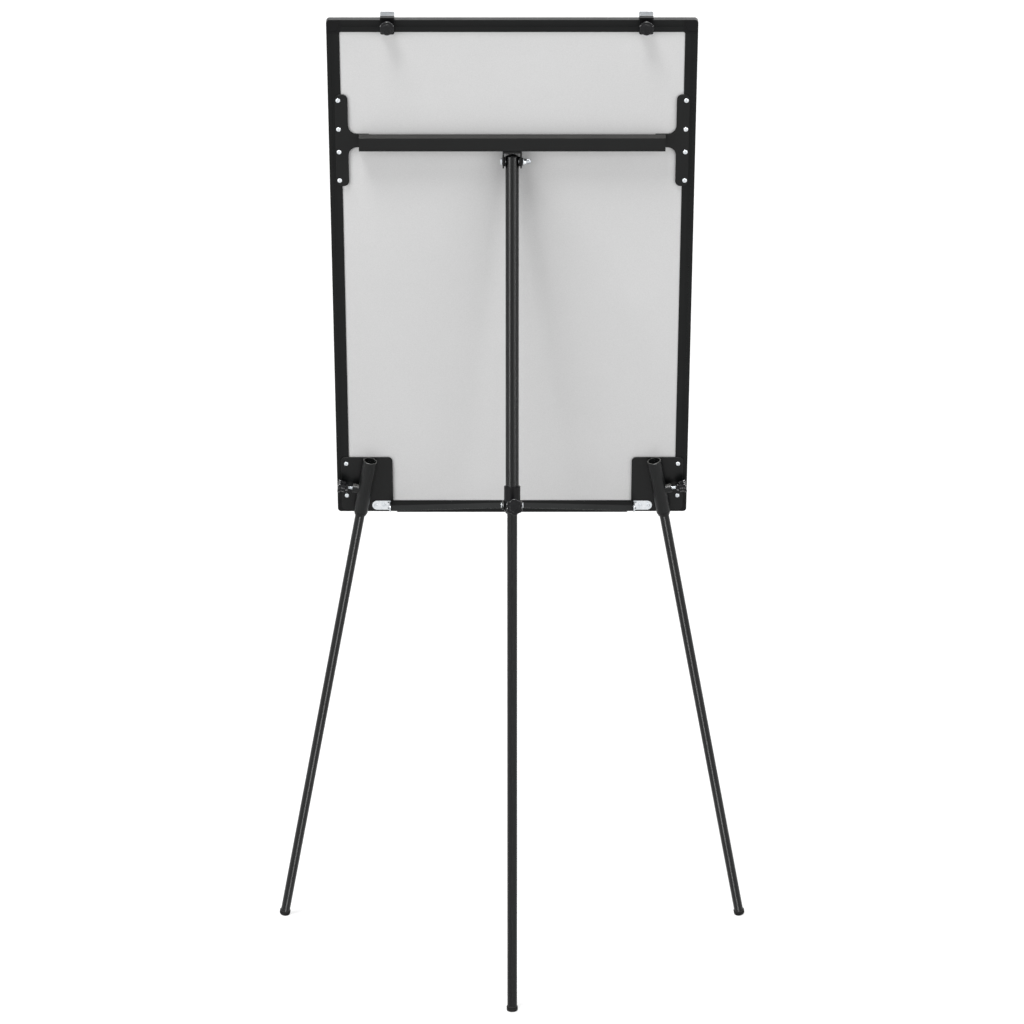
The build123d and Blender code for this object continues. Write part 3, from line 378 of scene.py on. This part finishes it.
# %% Moulded parts
# Polypropylene from a textured mould: a soft even sheen.
finish["plastic_black"] = grained("polypropylene from a textured mould", ("#0b0b0c", "#0f0f10"), (0.30, 0.40),
                                  grain_mm=0.5, bump_mm=0.02, drift_mm=60, level=0.13)
# ABS from a polished mould: thin sharp highlights on each lobe and rim.
finish["knob_black"] = grained("ABS from a polished mould", ("#060607", "#0a0a0b"), (0.10, 0.16),
                               grain_mm=0.6, bump_mm=0.004, drift_mm=40, level=0.18)
# Vulcanised rubber: matt, with pale dust.
finish["foot_rubber"] = grained("vulcanised rubber", ("#151515", "#1f1f1e"), (0.72, 0.84),
                                grain_mm=0.4, bump_mm=0.02, drift_mm=15, level=0.2, speckle=0.3, dust=0.05)

# %% [markdown]
# ## Bare metal
# The fasteners are plated with zinc, which is bright and slightly blue and goes cloudy in
# patches a few millimetres across. The pad hooks are bare aluminium strip, with the
# rolling marks running across them.

# %% Plated fasteners and aluminium hooks
# Bright zinc plate: a cold mirror that the cloudy patches blur.
finish["zinc_steel"] = grained("bright zinc plate on steel", ("#d8dadc", "#c3c8cc"), (0.18, 0.34),
                               grain_mm=0.7, bump_mm=0.004, drift_mm=7, metal=1.0, speckle=0.2)
# Mill-finish aluminium: a paler and softer grey, streaked by the rolls.
finish["hook_aluminium"] = grained("mill-finish aluminium strip", ("#cccecf", "#b4b7ba"), (0.30, 0.44),
                                   grain_mm=0.8, bump_mm=0.006, drift_mm=12, metal=1.0, stretch=(0.1, 1, 1))

# %% [markdown]
# ## The board's faces
# The back sheet is lacquered in a light grey with fine speckles. The front sheet has a hard
# gloss lacquer for dry markers, which years of wiping leave with faint streaks from side to side.
# Between them is a fibreboard core, whose edges the frame hides.

# %% Sheets and core
# Grey lacquer with speckles: flat and even from afar.
finish["sheet_grey"] = grained("speckled grey lacquer on sheet", ("#dedede", "#d4d4d4"), (0.45, 0.55),
                               grain_mm=1.8, bump_mm=0.006, drift_mm=220, level=0.25, speckle=0.7)
# Dry-wipe lacquer: a wide soft mirror, with the ghosts of wiped marks in its gloss.
finish["sheet_white"] = grained("dry-wipe lacquer on steel", ("#f5f6f6", "#eef0f0"), (0.08, 0.17),
                                grain_mm=6.0, bump_mm=0.006, drift_mm=90, stretch=(0.3, 1, 1))
# Pressed fibreboard: brown, matt and flecked.
finish["core_board"] = grained("pressed fibreboard", ("#a58a64", "#8f7550"), (0.80, 0.90),
                               grain_mm=0.8, bump_mm=0.05, drift_mm=4, level=0.2, speckle=0.5)
print("finishes", len(finish))

# %% [markdown]
# ## Finishes on the construction model
# The record names a material slot for each node, and each slot has one finish above. One loop
# therefore dresses the whole construction model. The pieces modelled below take the finish of the
# node whose place they take.

# %% Finishes on the nodes
for node, item in frame["nodes"].items():
    item.data.materials.clear()
    item.data.materials.append(finish[slots[node]])
print("dressed nodes", len(frame["nodes"]))

# %% [markdown]
# ## Modelling by hand
# Most small parts of the easel are turned or moulded round an axis. A turned part is drawn as an
# outline of radius and height, one point after another, and spun into a closed solid. The outlines
# are in millimetres.

# %% Drawing an outline and spinning it
MERGE_WITHIN = 1e-6


def drawn(name, points):
    """A chain of edges through points, left in edit mode."""
    bpy.ops.object.select_all(action="DESELECT")
    bpy.ops.mesh.primitive_plane_add(size=MM)
    piece = bpy.context.object
    piece.name = name
    bpy.ops.object.mode_set(mode="EDIT")
    bpy.ops.mesh.select_mode(type="VERT")
    bpy.ops.mesh.merge(type="CENTER")
    bpy.ops.transform.translate(value=points[0])
    for start, end in zip(points, points[1:]):
        step = tuple(b - a for a, b in zip(start, end))
        bpy.ops.mesh.extrude_vertices_move(TRANSFORM_OT_translate={"value": step})
    return piece


def closed(piece):
    """Merges doubles, turns the faces outwards and leaves edit mode."""
    bpy.ops.mesh.select_all(action="SELECT")
    bpy.ops.mesh.remove_doubles(threshold=MERGE_WITHIN)
    bpy.ops.mesh.normals_make_consistent(inside=False)
    bpy.ops.object.mode_set(mode="OBJECT")
    return piece


def turned_part(name, outline, steps=32):
    """A solid spun about Z from an outline of radius and height in millimetres."""
    piece = drawn(name, [(radius * MM, 0, height * MM) for radius, height in outline])
    bpy.ops.mesh.select_all(action="SELECT")
    bpy.ops.mesh.spin(steps=steps, angle=2 * pi, center=(0, 0, 0), axis=(0, 0, 1))
    return closed(piece)


print("points closer than", MERGE_WITHIN, "m are merged")

# %% [markdown]
# ## Models and their copies
# Each part is modelled once at the origin, along Z. Its copies are set in their places and fixed
# there, so that their meshes hold the places, and the model is removed. A finished piece is shaded
# smooth but for its sharp edges, takes the finish and the body of its node, and stands for it.

# %% Copying, joining and handing over a piece
SHARP_FROM = 35


def alone(piece):
    """Deselects everything else and makes one piece active."""
    bpy.ops.object.select_all(action="DESELECT")
    piece.select_set(True)
    bpy.context.view_layer.objects.active = piece


def joined(name, pieces):
    """Several pieces as one mesh."""
    alone(pieces[0])
    for piece in pieces:
        piece.select_set(True)
    if len(pieces) > 1:
        bpy.ops.object.join()
    pieces[0].name = name
    return pieces[0]


def copy_at(model, place):
    """A copy with its own mesh, fixed at a place."""
    piece = model.copy()
    piece.data = model.data.copy()
    bpy.context.collection.objects.link(piece)
    piece.matrix_world = place
    alone(piece)
    bpy.ops.object.transform_apply(location=True, rotation=True, scale=True)
    return piece


def set_out(model, places):
    """A copy of a model at each place, without the model itself."""
    pieces = [copy_at(model, place) for place in places]
    bpy.data.objects.remove(model)
    return pieces


def takes_place_of(node, name, pieces):
    """Joins pieces into one that has the finish, the body and the place of a node."""
    piece = joined(name, pieces)
    bpy.ops.object.shade_smooth_by_angle(angle=radians(SHARP_FROM))
    piece.data.materials.clear()
    piece.data.materials.append(finish[slots[node]])
    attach(piece, body_of[node])
    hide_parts(node)
    print(piece.name, "has", len(piece.data.polygons), "faces")
    return piece


print("edges sharper than", SHARP_FROM, "degrees stay sharp")

# %% [markdown]
# ## Star knobs
# A star knob is moulded in one piece: a plain hub, a drawn-in body and a wider head, both with
# lobes for the fingers. The lobes' outline is drawn point by point and filled. The first ring
# scales that face and lifts it to the body's foot, and each ring after it extrudes it further. The
# last rings form the rounded rim and the shallow dish in the top.

# %% A star knob from its outline
LOBES = 6
POINTS_ROUND = 96
LOBE_FULLNESS = 0.65
# Shares of the head's radius and of the knob's height.
KNOB_RINGS = (
    (0.80, 0.30), (0.845, 0.33), (0.855, 0.36), (0.855, 0.69), (0.87, 0.72), (0.97, 0.74), (0.993, 0.755),
    (1.0, 0.78), (1.0, 0.90), (0.992, 0.935), (0.97, 0.97), (0.935, 0.99), (0.89, 1.0), (0.68, 1.0),
    (0.64, 0.992), (0.58, 0.965), (0.5, 0.955), (0.2, 0.952))
# Shares of the hub's radius and of the knob's height.
KNOB_HUB = (
    (0, 0), (0.88, 0), (0.96, 0.012), (1.0, 0.04), (1.0, 0.25), (1.06, 0.28), (1.2, 0.305), (0, 0.31))


def filled(name, points):
    """A flat face inside a closed outline in millimetres, left in edit mode."""
    piece = drawn(name, [(x * MM, y * MM, 0) for x, y in points])
    bpy.ops.mesh.select_all(action="SELECT")
    bpy.ops.mesh.edge_face_add()
    return piece


def star_outline(radius, hollow):
    """Points round the edge of a star, whose first lobe is along X."""
    outline = []
    for number in range(POINTS_ROUND):
        angle = 2 * pi * number / POINTS_ROUND
        wave = ((1 + cos(LOBES * angle)) / 2) ** LOBE_FULLNESS
        reach = hollow + (radius - hollow) * wave
        outline.append((reach * cos(angle), reach * sin(angle)))
    return outline


def star_knob(radius, tall, hub, hollow):
    """A star knob along Z from its hub up, in millimetres."""
    head = filled("star knob", star_outline(radius, hollow))
    scale, height = 1.0, 0.0
    for next_scale, next_height in KNOB_RINGS:
        if height:
            bpy.ops.mesh.extrude_region_move()
        grow = next_scale / scale
        bpy.ops.transform.resize(value=(grow, grow, 1), center_override=(0, 0, 0))
        bpy.ops.transform.translate(value=(0, 0, (next_height - height) * tall * MM))
        scale, height = next_scale, next_height
    closed(head)
    foot = turned_part("hub", [(hub * out, tall * up) for out, up in KNOB_HUB])
    return joined("star knob", [head, foot])


print("a star knob's head is built up of", len(KNOB_RINGS), "rings")

# %% [markdown]
# ## Knobs in their places
# Three knobs clamp the legs, and two smaller ones with shallow hollows clamp the pad clips. The
# size and the place of each are measured from the node that it stands for, along the axis of its
# joint, so each knob is modelled at its own size.

# %% Knobs of the leg clamps and of the pad clips
def axis_of(joint):
    """The place and the direction of a turning joint's axis."""
    return Vector(joints[joint]["pos_m"]), Vector(joints[joint]["axis"])


CLAMP_HOLLOW = 0.86
CLIP_HOLLOW = 0.965
CLIP_SCREW = 4.7
# Each knob's joint, its hollows' and its hub's shares of its radius, and the screw below it in mm.
KNOBS = (
    ("rear", "rear_clamp_turn", CLAMP_HOLLOW, 0.486, 0),
    ("left_leg", "left_clamp_turn", CLAMP_HOLLOW, 0.56, 0),
    ("right_leg", "right_clamp_turn", CLAMP_HOLLOW, 0.56, 0),
    ("left_clip", "left_clip_turn", CLIP_HOLLOW, 0.40, CLIP_SCREW),
    ("right_clip", "right_clip_turn", CLIP_HOLLOW, 0.40, CLIP_SCREW))

knobs = []
for name, joint, hollow_share, hub_share, screw_below in KNOBS:
    place, axis = axis_of(joint)
    low, high, reach = span(name + "_knob", place, axis)
    low += screw_below * MM
    radius = reach / MM
    model = star_knob(radius, (high - low) / MM, hub_share * radius, hollow_share * radius)
    pieces = set_out(model, [aimed(place + axis * low, axis, up_board)])
    knobs.append(takes_place_of(name + "_knob", name + "_star_knob", pieces))

# %% [markdown]
# ## Rims of light
# A black knob before a black plate shows only by the thin lines of light on its rim. Four far
# lamps, at both sides of the easel, above it and below it, light nothing but the knobs.

# %% Lamps round the knobs
RIM_STRENGTH = 16.0
RIM_SPREAD = 30
RIM_LAMPS = (("left rim", 95, 0), ("right rim", -95, 0), ("top rim", 0, 80), ("low rim", 0, -80))

for name, azimuth, elevation in RIM_LAMPS:
    line_of_light(name, azimuth, elevation, RIM_STRENGTH, RIM_SPREAD, knobs)
print("lamps", len(bpy.data.lights))

# %% [markdown]
# ## Blind rivets
# The plates are held by blind rivets. Each has a low domed ring, pulled down by a steel pin that
# breaks off inside it, so a dark hole with the pin's grey end stays in the middle. The brackets'
# rivets are smaller and lower than the plates'.

# %% Rivets of the plates and brackets
PLATE_FACE = 2.0
BRACKET_FACE = 3.6
PLATE_RIVET_X = 283.5
TEE_RIVET_HEIGHTS = (620.2, 670.8, 710.8, 761.4)
CORNER_RIVET_HEIGHTS = (32.4, 93.5)
BRACKET_RIVET_X = (219.7, 233.5)
BRACKET_RIVET_HEIGHT = 14.0
RIVET = (
    (0, -3.8), (1.95, -3.8), (1.95, 0), (3.95, 0), (4.0, 0.18), (3.93, 0.5), (3.6, 0.88), (3.1, 1.18),
    (2.5, 1.41), (2.0, 1.5), (1.6, 1.47), (1.36, 1.36), (1.25, 1.15), (1.2, 0.5), (1.02, 0.42),
    (0.95, 0.62), (0.7, 0.74), (0, 0.78))
LOW_RIVET = (
    (0, -3.0), (1.95, -3.0), (1.95, 0), (3.02, 0), (3.1, 0.1), (3.06, 0.28), (2.8, 0.47), (2.4, 0.62),
    (2.0, 0.69), (1.7, 0.69), (1.45, 0.62), (1.36, 0.45), (1.3, 0.1), (1.1, 0.05), (0.95, 0.2), (0, 0.24))
RIVET_ROWS = (
    ("tee_rivets", "tee_blind_rivets", RIVET, PLATE_FACE,
     [(PLATE_RIVET_X, height) for height in TEE_RIVET_HEIGHTS]),
    ("corner_rivets", "corner_blind_rivets", RIVET, PLATE_FACE,
     [(PLATE_RIVET_X, height) for height in CORNER_RIVET_HEIGHTS]),
    ("bracket_rivets", "bracket_low_rivets", LOW_RIVET, BRACKET_FACE,
     [(x, BRACKET_RIVET_HEIGHT) for x in BRACKET_RIVET_X]))

for node, name, outline, face, spots in RIVET_ROWS:
    model = turned_part("rivet", outline, steps=24)
    places = [aimed(on_board(side * x, face, height), behind) for x, height in spots for side in (-1, 1)]
    takes_place_of(node, name, set_out(model, places))

# %% [markdown]
# ## Headed pins
# The stays turn on pins that are riveted over at their outer end, and hook onto two studs with a
# low round head. Both are turned parts, so each is one outline, spun and set on both sides.

# %% Stay pins and collar studs
def middle(node):
    """The middle of a node's box."""
    low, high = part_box(node)
    return (Vector(low) + Vector(high)) / 2


PIN_START = 203.4
PIN = (
    (0, 0), (3.1, 0), (3.8, 0.22), (4.25, 0.6), (4.4, 1.1), (4.4, 1.95), (4.2, 2.2), (2.5, 2.2), (2.5, 6.8),
    (4.1, 6.8), (4.35, 6.95), (4.4, 7.2), (4.1, 7.6), (3.4, 7.88), (2.4, 8.0), (0.6, 7.9), (0, 7.85))
STUD_START = 11.35
STUD = (
    (0, 0), (3.0, 0), (3.0, 5.85), (4.2, 5.85), (4.5, 6.0), (4.6, 6.3), (4.5, 6.75), (4.1, 7.1),
    (3.3, 7.3), (0, 7.35))

for node, name, outline, start in (("stay_pivot_rivets", "stay_headed_pins", PIN, PIN_START),
                                   ("collar_studs", "collar_headed_studs", STUD, STUD_START)):
    model = turned_part("pin", outline)
    places = [aimed(middle(node) + across * side * start * MM, across * side, up_board) for side in (-1, 1)]
    takes_place_of(node, name, set_out(model, places))

# %% [markdown]
# ## Threads
# The clamp screws and the end of the pivot bolt show their thread. At one millimetre a turn its
# slope can't be seen, so the thread is a row of sharp rings, which catch the light as narrow
# bright lines.

# %% Clamp screws
PITCH = 1.0
THREAD_DEEP = 0.42
# Where a turn leaves its root, has its crest and is back at the root, as shares of the pitch.
TURN = ((0.12, THREAD_DEEP), (0.45, 0), (0.6, 0), (0.93, THREAD_DEEP))
SCREW_RADIUS = 3.0
POINT_RADIUS = 2.2
NECK_RADIUS = 2.55
NECK_TALL = 0.35
PLAIN_END = 0.2


def thread(radius, low, high):
    """The outline of a threaded length."""
    return [(radius - deep, min(low + (number + share) * PITCH, high))
            for number in range(ceil((high - low) / PITCH)) for share, deep in TURN]


for side, name in (("rear", "rear"), ("left", "left_leg"), ("right", "right_leg")):
    node = side + "_clamp_screw"
    place, axis = axis_of(side + "_clamp_turn")
    low, high, _ = span(node, place, axis)
    long = (high - low) / MM
    outline = [(0, 0), (POINT_RADIUS, 0), (NECK_RADIUS, NECK_TALL),
               *thread(SCREW_RADIUS, NECK_TALL, long - PLAIN_END), (0, long)]
    model = turned_part("screw", outline, steps=24)
    places = [aimed(place + axis * low, axis, up_board)]
    takes_place_of(node, name + "_threaded_screw", set_out(model, places))

# %% [markdown]
# ## Pivot bolt
# The rear leg hangs on a hexagon bolt. Its head starts as a six-sided prism, and its outer edges
# are bevelled off, as the forging leaves them. Its shank is a turned part that ends in a thread.

# %% Hexagon bolt
def applied(piece, kind, **settings):
    """Adds a modifier with its settings and applies it."""
    alone(piece)
    modifier = piece.modifiers.new(kind.title(), kind)
    for key, value in settings.items():
        setattr(modifier, key, value)
    bpy.ops.object.modifier_apply(modifier=modifier.name)


HEAD_ACROSS = 10.0
HEAD_START = 15.8
HEAD_TALL = 3.3
HEAD_EDGE = 0.35
BOLT_RADIUS = 3.0
BOLT_END = -30.8
BOLT_POINT = 0.3
THREAD_END = -17.5
SHANK_START = -17.4
SHANK_END = HEAD_START + 0.2
SHANK = (
    (0, BOLT_END), (POINT_RADIUS, BOLT_END), *thread(BOLT_RADIUS, BOLT_END + BOLT_POINT, THREAD_END),
    (BOLT_RADIUS, SHANK_START), (BOLT_RADIUS, SHANK_END), (0, SHANK_END))

bpy.ops.object.select_all(action="DESELECT")
bpy.ops.mesh.primitive_cylinder_add(vertices=6, radius=HEAD_ACROSS / 2 / cos(pi / 6) * MM,
                                    depth=HEAD_TALL * MM, location=(0, 0, (HEAD_START + HEAD_TALL / 2) * MM))
head = bpy.context.object
bpy.ops.object.transform_apply(location=True, rotation=True, scale=True)
applied(head, "BEVEL", width=HEAD_EDGE * MM, segments=3, limit_method="ANGLE", angle_limit=radians(30))
model = joined("bolt", [head, turned_part("shank", SHANK, steps=24)])
pivot, _ = axis_of("rear_leg_fold")
takes_place_of("pivot_bolt", "hexagon_pivot_bolt", set_out(model, [aimed(pivot, across, up_board)]))

# %% [markdown]
# ## Wing nut
# The nut is a low cone with two wings. A wing is the outline round a small circle at the hub and a
# larger one at the tip, drawn, filled, extruded and bevelled. The other wing is its copy, half a
# turn further round.

# %% Wing nut on the pivot bolt
NUT_START = 17.7
NUT_TURN = 52.0
NUT_HUB = (
    (3.1, 0), (5.2, 0), (5.6, 0.3), (5.6, 1.1), (5.2, 2.6), (4.55, 4.6), (4.25, 5.3), (3.9, 5.6), (3.1, 5.6),
    (3.1, 0))
WING_ROOT = (2.6, 2.2)
WING_ROOT_RADIUS = 1.7
WING_TIP = (10.8, 8.6)
WING_TIP_RADIUS = 3.2
WING_THICK = 2.0
WING_EDGE = 0.55


def round_ended(first, first_radius, second, second_radius, steps=12):
    """The outline round two circles and the straight lines that touch both."""
    gap = Vector(second) - Vector(first)
    facing = atan2(gap.y, gap.x)
    half = pi / 2 + atan2(second_radius - first_radius, gap.length)
    outline = []
    for centre, radius, start, sweep in ((second, second_radius, facing - half, 2 * half),
                                         (first, first_radius, facing + half, 2 * (pi - half))):
        for number in range(steps + 1):
            angle = start + sweep * number / steps
            outline.append((centre[0] + radius * cos(angle), centre[1] + radius * sin(angle)))
    return outline


hub = turned_part("hub", NUT_HUB)
wing = filled("wing", round_ended(WING_ROOT, WING_ROOT_RADIUS, WING_TIP, WING_TIP_RADIUS))
bpy.ops.transform.translate(value=(0, 0, -WING_THICK / 2 * MM))
bpy.ops.mesh.extrude_region_move(TRANSFORM_OT_translate={"value": (0, 0, WING_THICK * MM)})
closed(wing)
applied(wing, "BEVEL", width=WING_EDGE * MM, segments=4, limit_method="ANGLE", angle_limit=radians(40))
upright = Matrix.Rotation(pi / 2, 4, "X")
wings = set_out(wing, [Matrix.Rotation(turn, 4, "Z") @ upright for turn in (0, pi)])
model = joined("nut", [hub, *wings])
wing_side = up_board * cos(radians(NUT_TURN)) + behind * sin(radians(NUT_TURN))
nut_place = aimed(pivot - across * NUT_START * MM, -across, wing_side)
takes_place_of("wing_nut", "pressed_wing_nut", set_out(model, [nut_place]))

# %% [markdown]
# ## Rubber feet
# Each leg ends in a rubber cap with a rounded tread and two shallow grooves that stop a finger
# from slipping when it is pulled off. The leg leans, so the cap is worn flat by the floor: it is
# cut level at the floor's height.

# %% Feet cut level with the floor
FOOT_TALL = 9.0
FOOT = (
    (0, 0), (6.7, 0), (7.85, 0.23), (8.8, 0.88), (9.43, 1.85), (9.66, 3.0), (9.66, 4.1), (9.35, 4.25),
    (9.35, 4.75), (9.66, 4.9), (9.66, 5.9), (9.35, 6.05), (9.35, 6.55), (9.66, 6.7), (9.66, 8.2),
    (9.4, 8.7), (8.9, FOOT_TALL), (0, FOOT_TALL))

for side, tube in (("rear", "rear_inner_tube"), ("left", "left_leg_tube"), ("right", "right_leg_tube")):
    axis = Vector(joints[side + "_leg_extend"]["axis"])
    corners = [vertex.co for vertex in frame["nodes"][tube].data.vertices]
    centre = sum(corners, Vector()) / len(corners)
    low, _, _ = span(tube, centre, axis)
    model = turned_part("foot", FOOT, steps=48)
    pieces = set_out(model, [aimed(centre + axis * (low - FOOT_TALL * MM), axis)])
    bpy.ops.object.mode_set(mode="EDIT")
    bpy.ops.mesh.select_all(action="SELECT")
    bpy.ops.mesh.bisect(plane_co=(0, 0, 0), plane_no=(0, 0, 1), use_fill=True, clear_inner=True,
                        threshold=MERGE_WITHIN)
    closed(pieces[0])
    takes_place_of(side + "_foot", side + "_rubber_foot", pieces)

# %% [markdown]
# ## Tray screws
# Two small screws hold the pen tray from below. Their rounded heads have a cross for the driver,
# cut by two crossed bars.

# %% Round-headed tray screws
TRAY_SCREW = (
    (0, -5.0), (1.7, -5.0), (1.7, 0), (3.3, 0), (3.4, 0.2), (3.3, 0.75), (2.9, 1.25), (2.2, 1.6),
    (1.2, 1.77), (0, 1.8))
CROSS_LONG = 3.4
CROSS_WIDE = 0.8
CROSS_FLOOR = 0.9
BAR_TALL = 1.7
TRAY_SCREW_X = 150.0
TRAY_SCREW_OFF = -6.5
TRAY_UNDERSIDE = -1.2

screw = turned_part("screw", TRAY_SCREW)
for wide, long in ((CROSS_WIDE, CROSS_LONG), (CROSS_LONG, CROSS_WIDE)):
    bpy.ops.object.select_all(action="DESELECT")
    bpy.ops.mesh.primitive_cube_add(size=1, location=(0, 0, (CROSS_FLOOR + BAR_TALL / 2) * MM))
    bar = bpy.context.object
    bar.scale = (wide * MM, long * MM, BAR_TALL * MM)
    bpy.ops.object.transform_apply(location=True, rotation=True, scale=True)
    applied(screw, "BOOLEAN", operation="DIFFERENCE", solver="EXACT", object=bar)
    bpy.data.objects.remove(bar)
places = [aimed(on_board(side * TRAY_SCREW_X, TRAY_SCREW_OFF, TRAY_UNDERSIDE), -up_board) for side in (-1, 1)]
takes_place_of("tray_screws", "tray_round_head_screws", set_out(screw, places))
